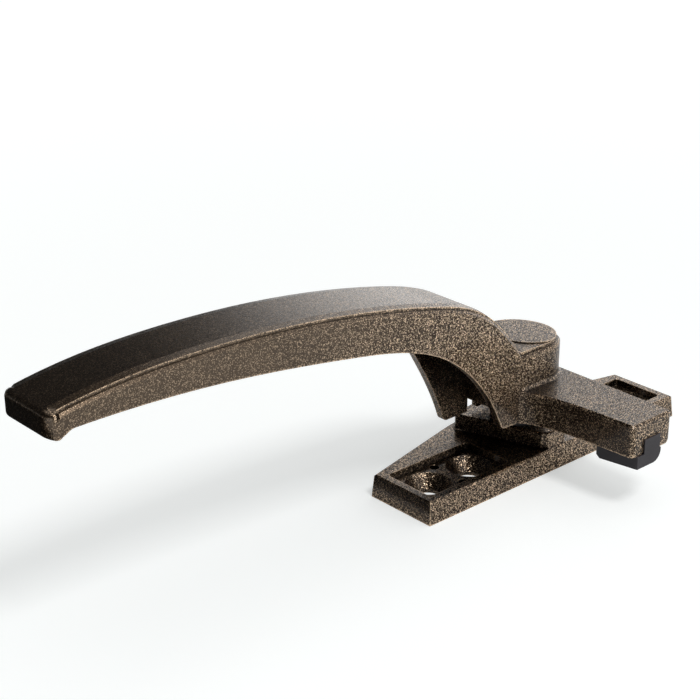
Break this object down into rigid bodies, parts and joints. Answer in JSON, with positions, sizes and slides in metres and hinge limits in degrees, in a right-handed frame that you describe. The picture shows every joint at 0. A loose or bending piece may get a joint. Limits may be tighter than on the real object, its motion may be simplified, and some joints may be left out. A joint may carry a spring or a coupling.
{
  "type": "cockspur window handle",
  "caption": "Die-cast cockspur window handle: an arched grip and a nose turn together on a screwed-down base to lock a casement sash against its frame.",
  "frame": {"origin": "the spindle's axis at the underside of the base plate, where the base sits on the sash", "axes": "+Z away from the sash along the spindle; +X along the nose, towards the fixed frame; the grip lies along -Y in the closed position"},
  "size_m": [0.0498, 0.1641, 0.053],
  "materials": {
    "powder_coat_base": "bronze metallic powder coat, fine texture",
    "powder_coat_handle": "bronze metallic powder coat, fine texture",
    "steel": "zinc plated",
    "spring_steel": "oiled dark spring steel",
    "bush_polymer": "moulded acetal",
    "washer_polymer": "natural nylon",
    "insert_polymer": "moulded black nylon"
  },
  "bodies": {
    "base": {"base_plate": "powder_coat_base", "pivot_bush": "bush_polymer", "friction_washer": "washer_polymer", "disc_spring": "spring_steel"},
    "handle": {"handle_body": "powder_coat_handle", "spindle": "steel", "stop_disc": "steel", "retaining_ring": "spring_steel", "wedge_insert": "insert_polymer"}
  },
  "joints": [
    {"name": "handle_turn", "type": "hinge", "parent": "base", "child": "handle", "pos_m": [0, 0, 0.01], "axis": [0, 0, 1], "range_deg": [-90, 0]}
  ]
}
